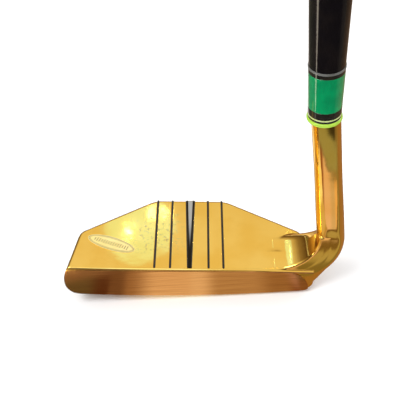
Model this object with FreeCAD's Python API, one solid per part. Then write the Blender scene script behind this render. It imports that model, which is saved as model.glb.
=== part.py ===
import FreeCAD, Part
import math
import os

# Mallet-style blade putter with a gold-plated cast head, a bent round neck and a black shaft.
# Units are millimetres. Row frame: origin at the centre of the striking face, -Y out of the
# face, +Z up the shaft, +X from toe to heel. The head has a frame of its own: origin in the
# middle of the top edge of the face, top surface level, same directions before it is tipped.

V = FreeCAD.Vector
X_AXIS = V(1, 0, 0)
Y_AXIS = V(0, 1, 0)
Z_AXIS = V(0, 0, 1)

# Driving dimensions.
OVERALL_LENGTH = 889.0
TOE_UP_DEG = 5.5
FACE_CENTRE_DROP = 10.5
TOE_X = -57.6
HEEL_X = 58.9
HEAD_DEPTH = 46.4
BACK_HALF_WIDTH = 17.8
TOE_SHOULDER = (-53.4, 23.6)
HEEL_SHOULDER = (54.5, 25.0)
CORNER_RADIUS = 5.0
SOLE_CAMBER_RADIUS = 580.0
SOLE_LOW_X = -22.0
SOLE_LOW_Z = -20.8

# Head walls: the side bulges out below the top edge and draws in again under the back.
BULGE_DROP = 9.0
SIDE_BULGE = 2.6
BACK_BULGE = 0.6
UNDERSIDE_DROP = 24.0
SIDE_TUCK = -1.0
BACK_TUCK = -12.0
TOP_EDGE_CHAMFER = 0.8
TOE_END_X = -60.4
HEEL_END_X = 60.4
SOLE_TOE_X = -46.0
SOLE_HEEL_X = 50.0

# Cavity, sole plate and screws, laid out in the head frame and tipped to the sole's chord.
SOLE_CHORD_DEG = -2.1
SOLE_CHORD_CENTRE = V(-0.5, 0, -19.0)
PLATE_HEIGHT = 1.8
GASKET_HEIGHT = 0.5
PLATE_OUTLINE = [(-43.0, 4.5), (-41.0, 19.0), (-18.0, 31.0), (20.0, 31.0), (42.0, 19.5), (42.0, 4.5)]
OPENING_OUTLINE = [(-31.0, 7.5), (-30.0, 18.5), (-16.0, 28.0), (17.0, 28.0), (30.0, 20.5), (30.0, 7.5)]
POCKET_OUTLINE = [(-54.0, 5.0), (-49.5, 21.5), (-16.5, 41.0), (16.5, 41.0), (35.0, 30.0), (35.0, 5.0)]
POCKET_TOP = -3.5
POCKET_DEPTH = 9.5
OPENING_DEPTH = 14.0
SCREW_PLACES = [(-36.5, 9.0), (-35.5, 16.5), (36.0, 9.0), (36.0, 16.5)]
SCREW_RADIUS = 1.5
SCREW_LENGTH = 7.0
SCREW_HEAD_RADIUS = 2.75
SCREW_HEAD_HEIGHT = 1.5
SCREW_SLOT_WIDTH = 0.8
SCREW_SLOT_DEPTH = 0.6

# Sight lines on the top surface.
LINE_OFFSETS = (-16.5, -9.1, 9.0, 16.0)
LINE_WIDTH = 0.9
LINE_DEPTH = 0.6
LINE_START_Y = 0.9
PAINT_DEPTH = 0.15
WEDGE_FRONT_WIDTH = 1.2
WEDGE_BACK_WIDTH = 3.9
WEDGE_GAP = 0.5
WEDGE_GROOVE_DEPTH = 1.0
WEDGE_TOP_DROP = 0.05

# Oval finish label on the toe side of the top surface.
LABEL_CENTRE = V(-38.0, 16.0, 0)
LABEL_LONG = 12.3
LABEL_SHORT = 4.1
LABEL_THICKNESS = 0.12
LABEL_TURN_DEG = -21.0

# Shaft line and the bent bar that joins it to the heel, in the row frame.
SHAFT_X = 61.2
SHAFT_Y = 6.4
BAR_RADIUS = 5.85
BAR_TOP = V(61.9, SHAFT_Y, 89.5)
BAR_KNEE = V(66.9, SHAFT_Y, 21.5)
ELBOW_RADIUS = 20.0
TENON_RADIUS = 3.5
TENON_LENGTH = 8.0
COVE_RADIUS = 18.0
COVE_FRONT_Y = 1.2
COVE_BACK_Y = 24.0
COVE_BACK_SLOPE = 0.7
COVE_OUTER_END = (72.0, 8.0)

# Spigot, shaft tip and ferrule stack.
SPIGOT_RADIUS = 4.6
SPIGOT_TOP = 134.0
GLUE_GAP = 0.2
TIP_RADIUS = 5.6
TIP_BOTTOM = 92.9
SHOULDER_Z = 114.3
SHOULDER_RADIUS = 6.85
FLARE_Z = 152.0
SHAFT_RADIUS = 7.6
BUTT_RADIUS = 7.45
SHAFT_WALL = 0.6
BORE_STEP_Z = 144.0
FERRULE_BOTTOM_RADIUS = 6.5
FERRULE_TOP_RADIUS = 7.0
PLUG_HEIGHT = 8.0

# Every ferrule ring: name, lower face, upper face, how far it stands proud of the taper.
FERRULE_RINGS = [
    ("ferrule_end_ring", 89.5, 91.3, 0.25),
    ("ferrule_lower_spacer", 91.3, 92.3, 0.0),
    ("ferrule_pinstripe", 92.3, TIP_BOTTOM, 0.05),
    ("ferrule_collar", TIP_BOTTOM, 96.1, 0.0),
    ("ferrule_green_band", 96.1, 111.7, 0.0),
    ("ferrule_upper_spacer", 111.7, 113.4, 0.0),
    ("ferrule_trim_ring", 113.4, SHOULDER_Z, 0.1),
]

# Grip.
SOLE_DROP = 12.0
BUTT_Z = OVERALL_LENGTH - SOLE_DROP
CAP_HEIGHT = 4.0
CAP_RADIUS = 13.4
VENT_RADIUS = 1.6
GRIP_LENGTH = 266.0
TAPE_THICKNESS = 0.25
# Grip sections: share of the length, side radius, reach of the back, depth of the flat front.
GRIP_SECTIONS = [
    (0.0, 9.6, 9.6, 9.0),
    (0.35, 11.2, 11.6, 9.6),
    (0.65, 12.3, 13.2, 10.0),
    (0.86, 13.2, 16.0, 10.4),
    (1.0, 13.4, 14.6, 10.6),
]


def head_to_row(shape):
    """Lower a head-frame shape to the face centre and tip it toe up."""
    placed = shape.copy()
    placed.translate(V(0, 0, FACE_CENTRE_DROP))
    placed.rotate(V(0, 0, 0), Y_AXIS, TOE_UP_DEG)
    return placed


def sole_to_head(shape):
    """Put a shape drawn on the sole's chord, z up into the head, in the head frame."""
    placed = shape.copy()
    placed.rotate(V(0, 0, 0), Y_AXIS, SOLE_CHORD_DEG)
    placed.translate(SOLE_CHORD_CENTRE)
    return placed


def prism(outline, low, high):
    """Upright block over a closed outline of (x, y) points."""
    points = [V(x, y, low) for x, y in outline]
    face = Part.Face(Part.makePolygon(points + points[:1]))
    return face.extrude(V(0, 0, high - low))


def shift_outline(outline, dx):
    return [(x + dx, y) for x, y in outline]


def head_outline(z, side, back):
    """Plan outline of the head at one level, grown by side at the ends and back behind."""
    points = [
        V(TOE_X - side, -SIDE_BULGE, z),
        V(TOE_SHOULDER[0] - side, TOE_SHOULDER[1] + back / 2, z),
        V(-BACK_HALF_WIDTH - back / 2, HEAD_DEPTH + back, z),
        V(BACK_HALF_WIDTH + back / 2, HEAD_DEPTH + back, z),
        V(HEEL_SHOULDER[0] + side / 2, HEEL_SHOULDER[1] + back / 2, z),
        V(HEEL_X + side / 2, -SIDE_BULGE, z),
    ]
    return Part.makePolygon(points + points[:1])


def upright_edges(solid):
    """Edges that run between the top and the underside behind the face."""
    found = []
    for edge in solid.Edges:
        box = edge.BoundBox
        if box.ZLength > UNDERSIDE_DROP / 2 and box.YMin > 1.0:
            found.append(edge)
    return found


def front_profile():
    """Front view of the head: rounded toe and heel corners on a cambered sole."""
    camber = math.sqrt(SOLE_CAMBER_RADIUS ** 2 - (SOLE_TOE_X - SOLE_LOW_X) ** 2)
    toe_foot = V(SOLE_TOE_X, 0, SOLE_LOW_Z + SOLE_CAMBER_RADIUS - camber)
    camber = math.sqrt(SOLE_CAMBER_RADIUS ** 2 - (SOLE_HEEL_X - SOLE_LOW_X) ** 2)
    heel_foot = V(SOLE_HEEL_X, 0, SOLE_LOW_Z + SOLE_CAMBER_RADIUS - camber)
    toe_side = V(TOE_END_X, 0, -BULGE_DROP)
    heel_side = V(HEEL_END_X, 0, -BULGE_DROP + 1.5)
    toe_top = V(TOE_X, 0, 0)
    heel_top = V(HEEL_X, 0, 0)
    edges = [
        Part.LineSegment(toe_top, heel_top),
        Part.Arc(heel_top, V(HEEL_X + 1.2, 0, -3.5), heel_side),
        Part.Arc(heel_side, V(57.8, 0, -13.3), heel_foot),
        Part.Arc(heel_foot, V(SOLE_LOW_X, 0, SOLE_LOW_Z), toe_foot),
        Part.Arc(toe_foot, V(-57.0, 0, -17.4), toe_side),
        Part.Arc(toe_side, V(TOE_X - 2.0, 0, -3.8), toe_top),
    ]
    wire = Part.Wire([edge.toShape() for edge in edges])
    return Part.Face(wire).extrude(V(0, HEAD_DEPTH + 5, 0))


def head_block():
    """Solid outer form of the head in its own frame."""
    levels = [
        head_outline(0.0, 0.0, 0.0),
        head_outline(-BULGE_DROP, SIDE_BULGE, BACK_BULGE),
        head_outline(-UNDERSIDE_DROP, SIDE_TUCK, BACK_TUCK),
    ]
    block = Part.makeLoft(levels, True, False)
    block = block.makeFillet(CORNER_RADIUS, upright_edges(block))
    return block.common(front_profile())


def edge_chamfer():
    """Bright bevel along the top edge of the face."""
    size = TOP_EDGE_CHAMFER
    points = [V(-80, 0, -size), V(-80, size, 0), V(-80, 0, 1), V(-80, -1, 1), V(-80, -1, -size)]
    face = Part.Face(Part.makePolygon(points + points[:1]))
    return face.extrude(V(160, 0, 0))


def line_block(centre, front_width, back_width, depth, top):
    """Bar along a sight line, straight or tapered, from the face edge to past the back."""
    back_y = HEAD_DEPTH + 3.0
    points = [
        (centre - front_width / 2, LINE_START_Y),
        (centre + front_width / 2, LINE_START_Y),
        (centre + back_width / 2, back_y),
        (centre - back_width / 2, back_y),
    ]
    return prism(points, -depth, top)


def wedge_groove():
    gap = 2 * WEDGE_GAP
    front = WEDGE_FRONT_WIDTH + gap
    back = WEDGE_BACK_WIDTH + gap
    return line_block(0.0, front, back, WEDGE_GROOVE_DEPTH, 1.0)


def make_wedge(block):
    bar = line_block(0.0, WEDGE_FRONT_WIDTH, WEDGE_BACK_WIDTH, WEDGE_GROOVE_DEPTH, -WEDGE_TOP_DROP)
    return bar.common(block)


def make_line_paint(block, wedge):
    """Black fill in the four outer grooves and on both sides of the wedge."""
    fills = []
    for centre in LINE_OFFSETS:
        bar = line_block(centre, LINE_WIDTH, LINE_WIDTH, LINE_DEPTH, -PAINT_DEPTH)
        fills.append(bar.common(block))
    low = V(-10, 0, -5)
    below_paint = Part.makeBox(20, HEAD_DEPTH + 5, 5 - PAINT_DEPTH, low)
    sides = wedge_groove().common(below_paint).common(block).cut(wedge)
    front_gap = Part.makeBox(20, 1.5, 5, V(-10, LINE_START_Y - 0.5, -5))
    sides = sides.cut(front_gap)
    return Part.makeCompound(fills + sides.Solids)


def make_label():
    ellipse = Part.Ellipse(V(0, 0, 0), LABEL_LONG, LABEL_SHORT).toShape()
    label = Part.Face(Part.Wire([ellipse])).extrude(V(0, 0, LABEL_THICKNESS))
    label.rotate(V(0, 0, 0), Z_AXIS, LABEL_TURN_DEG)
    label.translate(LABEL_CENTRE)
    return label


def sole_bar(outline, low, high):
    """Prism on the sole's chord, given in head-frame x and y."""
    return sole_to_head(prism(shift_outline(outline, -SOLE_CHORD_CENTRE.x), low, high))


def screw_tool(radius, low, high):
    """Four upright cylinders at the screw places, in the head frame."""
    pins = []
    for x, y in SCREW_PLACES:
        place = V(x - SOLE_CHORD_CENTRE.x, y, low)
        pins.append(Part.makeCylinder(radius, high - low, place))
    return sole_to_head(Part.makeCompound(pins))


def countersinks():
    """Recesses for the countersunk screw heads, in the head frame."""
    cones = []
    for x, y in SCREW_PLACES:
        place = V(x - SOLE_CHORD_CENTRE.x, y, 0)
        cone = Part.makeCone(SCREW_HEAD_RADIUS, SCREW_RADIUS, SCREW_HEAD_HEIGHT, place)
        mouth = Part.makeCylinder(SCREW_HEAD_RADIUS, 4.0, place - V(0, 0, 4.0))
        cones.append(cone.fuse(mouth))
    return sole_to_head(Part.makeCompound(cones))


def make_sole_plate(block):
    plate = sole_bar(PLATE_OUTLINE, -5.0, PLATE_HEIGHT).common(block)
    for tool in countersinks().Solids + screw_tool(SCREW_RADIUS, 0.5, PLATE_HEIGHT + 1).Solids:
        plate = plate.cut(tool)
    return plate


def make_gasket():
    top = PLATE_HEIGHT + GASKET_HEIGHT
    sheet = sole_bar(PLATE_OUTLINE, PLATE_HEIGHT, top)
    sheet = sheet.cut(sole_bar(OPENING_OUTLINE, 0, 10))
    return sheet.cut(screw_tool(SCREW_RADIUS, 0, 10))


def make_screws():
    """Four slotted countersunk screws that hold the sole plate."""
    screws = []
    for x, y in SCREW_PLACES:
        place = V(x - SOLE_CHORD_CENTRE.x, y, 0)
        head = Part.makeCone(SCREW_HEAD_RADIUS, SCREW_RADIUS, SCREW_HEAD_HEIGHT, place)
        shank = Part.makeCylinder(SCREW_RADIUS, SCREW_LENGTH, place)
        slot_corner = place - V(SCREW_HEAD_RADIUS, SCREW_SLOT_WIDTH / 2, 0)
        slot = Part.makeBox(2 * SCREW_HEAD_RADIUS, SCREW_SLOT_WIDTH, SCREW_SLOT_DEPTH, slot_corner)
        screws.append(head.fuse(shank).cut(slot).removeSplitter())
    return sole_to_head(Part.makeCompound(screws))


def head_cavity():
    """Pocket under the top surface, its opening in the sole, and the seat of the plate."""
    pocket = prism(POCKET_OUTLINE, POCKET_TOP - POCKET_DEPTH, POCKET_TOP)
    opening = sole_bar(OPENING_OUTLINE, 0.0, OPENING_DEPTH)
    seat = sole_bar(PLATE_OUTLINE, -5.0, PLATE_HEIGHT + GASKET_HEIGHT)
    return pocket.fuse(opening).fuse(seat)


def make_head_shell(block, neck):
    shell = block.cut(edge_chamfer())
    for centre in LINE_OFFSETS:
        shell = shell.cut(line_block(centre, LINE_WIDTH, LINE_WIDTH, LINE_DEPTH, 1.0))
    shell = shell.cut(wedge_groove())
    shell = shell.cut(head_cavity())
    shell = shell.cut(screw_tool(SCREW_RADIUS, 0, SCREW_LENGTH))
    return head_to_row(shell).cut(neck)


def elbow_geometry():
    """Tangent arc from the knee of the bar round to a level run into the heel."""
    along = (BAR_KNEE - BAR_TOP).normalize()
    inward = V(along.z, 0, -along.x)
    centre = BAR_KNEE + inward * ELBOW_RADIUS
    end = centre + V(0, 0, -ELBOW_RADIUS)
    middle_way = (BAR_KNEE - centre).normalize() + V(0, 0, -1)
    middle = centre + middle_way.normalize() * ELBOW_RADIUS
    return along, middle, end


def make_neck():
    """Bent bar with a tenon in the heel and a spigot that goes up inside the shaft."""
    along, middle, end = elbow_geometry()
    start = BAR_TOP - along * 3.0
    line = Part.LineSegment(start, BAR_KNEE).toShape()
    arc = Part.Arc(BAR_KNEE, middle, end).toShape()
    circle = Part.Wire([Part.Circle(start, along, BAR_RADIUS).toShape()])
    bar = Part.Wire([line, arc]).makePipeShell([circle], True, True)
    above = Part.makeBox(60, 60, 30, V(BAR_TOP.x - 30, SHAFT_Y - 30, BAR_TOP.z))
    bar = bar.cut(above)
    tenon = Part.makeCylinder(TENON_RADIUS, TENON_LENGTH + 1, end + V(1, 0, 0), -X_AXIS)
    root = BAR_TOP.z - 2.0
    spigot = Part.makeCylinder(SPIGOT_RADIUS, SPIGOT_TOP - root, V(SHAFT_X, SHAFT_Y, root))
    return bar.fuse(tenon).fuse(spigot)


def cove_profile():
    """Side view of the cove: hollow on top, the bar's centre line and elbow on the outside."""
    along, middle, end = elbow_geometry()
    knee, middle, end = [V(point.x, 0, point.z) for point in (BAR_KNEE, middle, end)]
    inward = V(along.z, 0, -along.x)
    tip = math.radians(TOE_UP_DEG)
    level = V(math.cos(tip), 0, -math.sin(tip))
    up = V(math.sin(tip), 0, math.cos(tip))
    raised = up * (FACE_CENTRE_DROP + COVE_RADIUS)
    short = COVE_RADIUS + BAR_RADIUS - (raised - knee).dot(inward)
    axis = raised + level * (short / level.dot(inward))
    foot = axis - up * COVE_RADIUS
    top = axis - inward * COVE_RADIUS
    hollow = axis - (up + inward).normalize() * COVE_RADIUS
    core = top - inward * BAR_RADIUS
    return Part.Wire([
        Part.Arc(foot, hollow, top).toShape(),
        Part.LineSegment(top, core).toShape(),
        Part.LineSegment(core, knee).toShape(),
        Part.Arc(knee, middle, end).toShape(),
        Part.LineSegment(end, foot).toShape(),
    ])


def make_neck_fillet(neck, block):
    """Braze web in the crook between the top surface and the bar, sloped away at the back."""
    web = Part.Face(cove_profile()).extrude(V(0, COVE_BACK_Y, 0))
    low = -COVE_RADIUS
    high = (COVE_BACK_Y - COVE_FRONT_Y) / COVE_BACK_SLOPE
    back = COVE_BACK_Y - COVE_BACK_SLOPE * low
    side = [V(0, COVE_FRONT_Y, low), V(0, back, low), V(0, COVE_FRONT_Y, high)]
    slab = Part.Face(Part.makePolygon(side + side[:1])).extrude(V(2 * HEEL_X, 0, 0))
    deck = [(0, 0), (0, HEEL_SHOULDER[1]), HEEL_SHOULDER, COVE_OUTER_END, (COVE_OUTER_END[0], 0)]
    web = web.common(slab).common(prism(deck, low, high))
    pieces = web.cut(neck).cut(head_to_row(block)).Solids
    return max(pieces, key=lambda piece: piece.Volume)


def revolve_about_shaft(points):
    """Turn a closed (radius, z) outline about the shaft line."""
    corners = [V(SHAFT_X + r, SHAFT_Y, z) for r, z in points]
    face = Part.Face(Part.makePolygon(corners + corners[:1]))
    return face.revolve(V(SHAFT_X, SHAFT_Y, 0), Z_AXIS, 360)


def sleeve(inner, outer, low, high):
    return revolve_about_shaft([(inner, low), (outer, low), (outer, high), (inner, high)])


def make_shaft():
    """Tube with a turned-down tip, a flare above the ferrule and a parallel upper part."""
    tip_bore = SPIGOT_RADIUS + GLUE_GAP
    bore = SHAFT_RADIUS - SHAFT_WALL
    top = BUTT_Z - CAP_HEIGHT - 1.0
    butt_step = BUTT_Z - CAP_HEIGHT - GRIP_LENGTH
    return revolve_about_shaft([
        (tip_bore, TIP_BOTTOM),
        (TIP_RADIUS, TIP_BOTTOM),
        (TIP_RADIUS, SHOULDER_Z),
        (SHOULDER_RADIUS, SHOULDER_Z),
        (SHAFT_RADIUS, FLARE_Z),
        (SHAFT_RADIUS, butt_step),
        (BUTT_RADIUS, butt_step),
        (BUTT_RADIUS, top),
        (bore, top),
        (bore, FLARE_Z + 6),
        (tip_bore, BORE_STEP_Z),
    ])


def ferrule_radius(z):
    low = FERRULE_RINGS[0][1]
    share = (z - low) / (SHOULDER_Z - low)
    return FERRULE_BOTTOM_RADIUS + share * (FERRULE_TOP_RADIUS - FERRULE_BOTTOM_RADIUS)


def make_ring(low, high, proud):
    """One bonded ferrule ring, on the spigot below the shaft tip or on the tip itself."""
    inner = SPIGOT_RADIUS if low < TIP_BOTTOM else TIP_RADIUS
    outer_low = ferrule_radius(low) + proud
    outer_high = ferrule_radius(high) + proud
    return revolve_about_shaft([(inner, low), (outer_low, low), (outer_high, high), (inner, high)])


def grip_section(z, side, back, front):
    """Closed section with a flat front towards the toe and a fuller back."""
    centre = V(SHAFT_X, SHAFT_Y, z)
    half_flat = side * 0.62
    front_a = centre + V(-front, half_flat, 0)
    front_b = centre + V(-front, -half_flat, 0)
    side_a = centre + V(0, side, 0)
    side_b = centre + V(0, -side, 0)
    bend = V(-front * 0.62, side * 0.93, 0)
    edges = [
        Part.LineSegment(front_b, front_a).toShape(),
        Part.Arc(front_a, centre + bend, side_a).toShape(),
        Part.Arc(side_a, centre + V(back, 0, 0), side_b).toShape(),
        Part.Arc(side_b, centre + V(bend.x, -bend.y, 0), front_b).toShape(),
    ]
    return Part.Wire(edges)


def make_grip():
    top = BUTT_Z - CAP_HEIGHT
    sections = []
    for share, side, back, front in GRIP_SECTIONS:
        z = top - GRIP_LENGTH * (1 - share)
        sections.append(grip_section(z, side, back, front))
    body = Part.makeLoft(sections, True, False)
    bore_radius = BUTT_RADIUS + TAPE_THICKNESS
    low = V(SHAFT_X, SHAFT_Y, top - GRIP_LENGTH - 1)
    return body.cut(Part.makeCylinder(bore_radius, GRIP_LENGTH + 2, low))


def make_grip_cap():
    """End cap with a vent hole, plugged into the bore of the grip."""
    low = BUTT_Z - CAP_HEIGHT
    disc = sleeve(VENT_RADIUS, CAP_RADIUS - 3.0, low, BUTT_Z)
    dome = disc.makeFillet(1.2, [disc.Edges[index] for index in outer_top_edges(disc)])
    return dome


def outer_top_edges(disc):
    found = []
    for index, edge in enumerate(disc.Edges):
        box = edge.BoundBox
        if box.ZLength < 0.01 and abs(box.ZMin - BUTT_Z) < 0.01 and box.XLength > CAP_RADIUS:
            found.append(index)
    return found


def save(name, shape):
    for solid in shape.Solids:
        if not solid.isValid():
            raise ValueError(name + " has an invalid solid")
    volume = sum(solid.Volume for solid in shape.Solids)
    print(name, len(shape.Solids), "solids", round(volume / 1000, 3), "cm3")
    shape.exportStep("parts/" + name + ".step")


def main():
    os.makedirs("parts", exist_ok=True)
    block = head_block()
    neck = make_neck()
    wedge = make_wedge(block)
    save("head_shell", make_head_shell(block, neck))
    save("neck", neck)
    save("neck_fillet", make_neck_fillet(neck, block))
    save("sight_wedge", head_to_row(wedge))
    save("sight_line_paint", head_to_row(make_line_paint(block, wedge)))
    save("finish_label", head_to_row(make_label()))
    save("sole_plate", head_to_row(make_sole_plate(block)))
    save("sole_gasket", head_to_row(make_gasket()))
    save("sole_screws", head_to_row(make_screws()))
    save("shaft", make_shaft())
    save("shaft_adhesive", sleeve(SPIGOT_RADIUS, SPIGOT_RADIUS + GLUE_GAP, TIP_BOTTOM, SPIGOT_TOP))
    save("tip_plug", sleeve(0, SPIGOT_RADIUS + GLUE_GAP, SPIGOT_TOP, SPIGOT_TOP + PLUG_HEIGHT))
    for name, low, high, proud in FERRULE_RINGS:
        save(name, make_ring(low, high, proud))
    grip_top = BUTT_Z - CAP_HEIGHT
    tape_radius = BUTT_RADIUS + TAPE_THICKNESS
    save("grip_tape", sleeve(BUTT_RADIUS, tape_radius, grip_top - GRIP_LENGTH, grip_top - 1.0))
    save("grip", make_grip())
    save("grip_cap", make_grip_cap())


main()
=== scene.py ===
import math

import bmesh
import bpy
import numpy as np
from mathutils import Matrix, Vector


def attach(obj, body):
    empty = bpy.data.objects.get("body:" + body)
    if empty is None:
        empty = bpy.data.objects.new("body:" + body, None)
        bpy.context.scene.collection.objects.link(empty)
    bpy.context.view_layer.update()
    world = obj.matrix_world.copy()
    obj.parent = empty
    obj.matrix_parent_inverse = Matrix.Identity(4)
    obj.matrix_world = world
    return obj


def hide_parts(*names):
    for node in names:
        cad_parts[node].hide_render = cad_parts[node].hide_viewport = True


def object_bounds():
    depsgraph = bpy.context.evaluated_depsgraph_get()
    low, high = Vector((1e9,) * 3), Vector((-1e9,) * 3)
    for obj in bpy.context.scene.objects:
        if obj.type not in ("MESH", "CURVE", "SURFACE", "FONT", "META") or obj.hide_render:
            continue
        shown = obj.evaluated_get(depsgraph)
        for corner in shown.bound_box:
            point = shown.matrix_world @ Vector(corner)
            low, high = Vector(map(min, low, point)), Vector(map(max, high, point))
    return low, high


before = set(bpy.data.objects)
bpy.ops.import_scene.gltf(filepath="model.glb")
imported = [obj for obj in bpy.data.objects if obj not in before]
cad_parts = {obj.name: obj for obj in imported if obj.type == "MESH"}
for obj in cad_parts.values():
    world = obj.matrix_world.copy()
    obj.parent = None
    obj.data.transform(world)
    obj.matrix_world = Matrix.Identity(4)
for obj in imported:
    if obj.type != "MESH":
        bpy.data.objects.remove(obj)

# Mallet-style blade putter: one polished gold skin for the head, its bent neck and the web
# between them, turned pieces for the shaft and the ferrule, and a moulded grip. Shapes are
# worked out in millimetres and scaled to metres when a mesh is made.

CAD_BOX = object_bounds()
MM = 0.001

# Head frame: origin in the middle of the top edge of the face, top surface level.
TOE_UP = math.radians(5.5)
FACE_CENTRE_DROP = 10.5
TOE_X = -57.6
HEEL_X = 58.9
HEAD_DEPTH = 46.2
BACK_HALF_WIDTH = 17.8
TOE_SHOULDER = (-53.4, 23.6)
HEEL_SHOULDER = (54.5, 25.0)
CORNER_BLEND = 1.8
WALL_LEVELS = (0.0, 9.0, 24.0)
SIDE_CURVE = np.polyfit(WALL_LEVELS, (0.0, 2.6, -1.0), 2)
BACK_CURVE = np.polyfit(WALL_LEVELS, (0.0, 0.6, -12.0), 2)
FRONT_RUN_OUT = -2.6
CAMBER_RADIUS = 580.0
CAMBER_CENTRE = (-22.0, -20.8 + 580.0)
TOE_CORNER = (-49.5, -9.5, 10.9)
HEEL_CORNER = (50.85, -6.75, 9.55)
TOP_EDGE_BLEND = 1.3
BOTTOM_CORNER_BLEND = 1.5
FRONT_EDGE_BLEND = 0.5
CRISP_BLEND = 0.3
WALL_REACH = (-2, 26)

# Face: a flat pad, a recess round its heel end, a square lip along the top and a toe facet.
LIP_HEIGHT = 1.2
LIP_SWELL = 1.0
LIP_SWELL_SPAN = (25.0, 56.0)
CHAMFER = 0.8
RECESS = 0.9
PAD_CORNER = (44.2, -14.2, 13.0)
PAD_EDGE_BLEND = 0.6
LIP_EDGE_BLEND = 0.25
FACET_TOE_END = (-60.3, -8.5)
FACET_INNER_END = (-41.0, -4.0)
FACET_LEAN = math.radians(3.0)

# Sight lines.
LINE_OFFSETS = (-16.5, -9.1, 9.0, 16.0)
LINE_WIDTH = 0.9
LINE_DEPTH = 0.6
LINE_START = 0.9
WEDGE_FRONT_WIDTH = 1.2
WEDGE_BACK_WIDTH = 3.9
WEDGE_GAP = 0.5
WEDGE_DEPTH = 1.0
LINE_RUN = HEAD_DEPTH + 3.0

# Seat of the sole plate, laid out on the sole's chord.
SEAT_OUTLINE = [(-43.0, 4.5), (-41.0, 19.0), (-18.0, 31.0), (20.0, 31.0), (42.0, 19.5), (42.0, 4.5)]
SEAT_TURN = math.radians(-2.1)
SEAT_CENTRE = (-0.5, -19.0)
SEAT_DEPTH = 2.3
SEAT_GAP = 0.1

# Shaft line and bent bar, in the row frame.
SHAFT_X = 61.2
SHAFT_Y = 6.4
BAR_RADIUS = 5.85
BAR_SWELL = 0.4
BAR_SWELL_SPAN = (25, 60)
BAR_TOP = (61.9, 89.5)
BAR_KNEE = (66.9, 21.5)
ELBOW_RADIUS = 20.0
WEB_FRONT = 1.0
WEB_BACK = 24.0
WEB_BACK_SLOPE = 0.7
WEB_OUTER_END = (72.0, 8.0)
WEB_WALL_BLEND = 3.0
WEB_FRONT_BLEND = 1.4
WEB_BACK_BLEND = 3.0
WEB_BLEND_SPAN = (5, 12)
SCOOP_RADIUS = 18.0
FILL_INNER_X = 44.0
FILL_TOP = 4.0
FILL_BLEND = 14.0
FILL_DRAW_IN = 2.0
FILL_CORNER_DROP = 5.0
FILL_TOP_BLEND = 6.0
FILL_SIDE_BLEND = 3.5

# Where the limb meets the head, and how softly each cut is rounded.
LIMB_FLAT_SPAN = (20, 40)
LIMB_FLAT_FADE = 3
LIMB_FRONT_BLEND = 0.6
JOINT_BACK_BLEND = 4.5
JOINT_SPAN = (6, 12)
SOLE_BLEND = 2.0
GROOVE_BLEND = 0.2
WEDGE_GROOVE_BLEND = 0.12

FINE = 0.35
SKIN_FACES = 170000
SAMPLE_BLOCK = 6
LEAST_SLOPE = 0.3


def to_row(x, z):
    """Head frame to row frame; y is the same in both."""
    raised = z + FACE_CENTRE_DROP
    cos, sin = math.cos(TOE_UP), math.sin(TOE_UP)
    return x * cos + raised * sin, raised * cos - x * sin


def to_head(x, z):
    """Row frame to head frame; y is the same in both."""
    cos, sin = math.cos(TOE_UP), math.sin(TOE_UP)
    return x * cos - z * sin, x * sin + z * cos - FACE_CENTRE_DROP


# ---- signed distances

def meet(a, b, blend):
    """Intersection of two distances with a rounded edge."""
    share = np.clip(0.5 + 0.5 * (a - b) / blend, 0, 1)
    return b + (a - b) * share + blend * share * (1 - share)


def join(a, b, blend):
    """Union of two distances with a rounded crook."""
    return -meet(-a, -b, blend)


def ease(value, low, high):
    """Smooth step from 0 at low to 1 at high."""
    share = np.clip((value - low) / (high - low), 0, 1)
    return share * share * (3 - 2 * share)


def wall(x, y, start, end):
    """Distance outside an upright wall that runs from start to end, clockwise seen from above."""
    run_x = end[0] - start[0]
    run_y = end[1] - start[1]
    length = np.hypot(run_x, run_y)
    return ((y - start[1]) * run_x - (x - start[0]) * run_y) / length


def outline_walls(x, y, z):
    """The five walls behind the face, bulging below the top edge and tucked under."""
    side = np.polyval(SIDE_CURVE, np.clip(-z, *WALL_REACH))
    back = np.polyval(BACK_CURVE, np.clip(-z, *WALL_REACH))
    corners = [
        (TOE_X - side, FRONT_RUN_OUT),
        (TOE_SHOULDER[0] - side, TOE_SHOULDER[1] + back / 2),
        (-BACK_HALF_WIDTH - back / 2, HEAD_DEPTH + back),
        (BACK_HALF_WIDTH + back / 2, HEAD_DEPTH + back),
        (HEEL_SHOULDER[0] + side / 2, HEEL_SHOULDER[1] + back / 2),
        (HEEL_X + side / 2, FRONT_RUN_OUT),
    ]
    distance = wall(x, y, corners[0], corners[1])
    for start, end in zip(corners[1:], corners[2:]):
        distance = meet(distance, wall(x, y, start, end), CORNER_BLEND)
    return distance


def rounded_corner(x, z, corner, side):
    """Bottom corner of the front view, rounded about its centre, on the side -1 toe or 1 heel."""
    centre_x, centre_z, radius = corner
    out = (x - centre_x) * side
    down = centre_z - z
    both = np.hypot(np.maximum(out, 0), np.maximum(down, 0))
    inboard = np.minimum(out, 0) * 0.5
    return both + inboard - radius


def face_front(x, y, z):
    """Front of the head: recessed body, raised pad and the lip along the top."""
    body = RECESS - y
    centre_x, centre_z, radius = PAD_CORNER
    out = x - centre_x
    up = z - centre_z
    both = np.hypot(np.maximum(out, 0), np.maximum(up, 0))
    pad = both + np.minimum(np.maximum(out, up), 0) - radius
    pad = meet(pad, -y, PAD_EDGE_BLEND)
    height = LIP_HEIGHT + LIP_SWELL * ease(x, *LIP_SWELL_SPAN)
    lip = meet(x - HEEL_X, -height - z, CRISP_BLEND)
    lip = meet(lip, -y, LIP_EDGE_BLEND)
    front = join(body, pad, LIP_EDGE_BLEND)
    return join(front, lip, LIP_EDGE_BLEND)


def toe_facet(x, y, z):
    """Plane through the crease at the toe, leaning back above it."""
    run = np.subtract(FACET_INNER_END, FACET_TOE_END)
    run = run / np.hypot(*run)
    above = (z - FACET_TOE_END[1]) * run[0] - (x - FACET_TOE_END[0]) * run[1]
    return above * math.sin(FACET_LEAN) - y * math.cos(FACET_LEAN)


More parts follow.
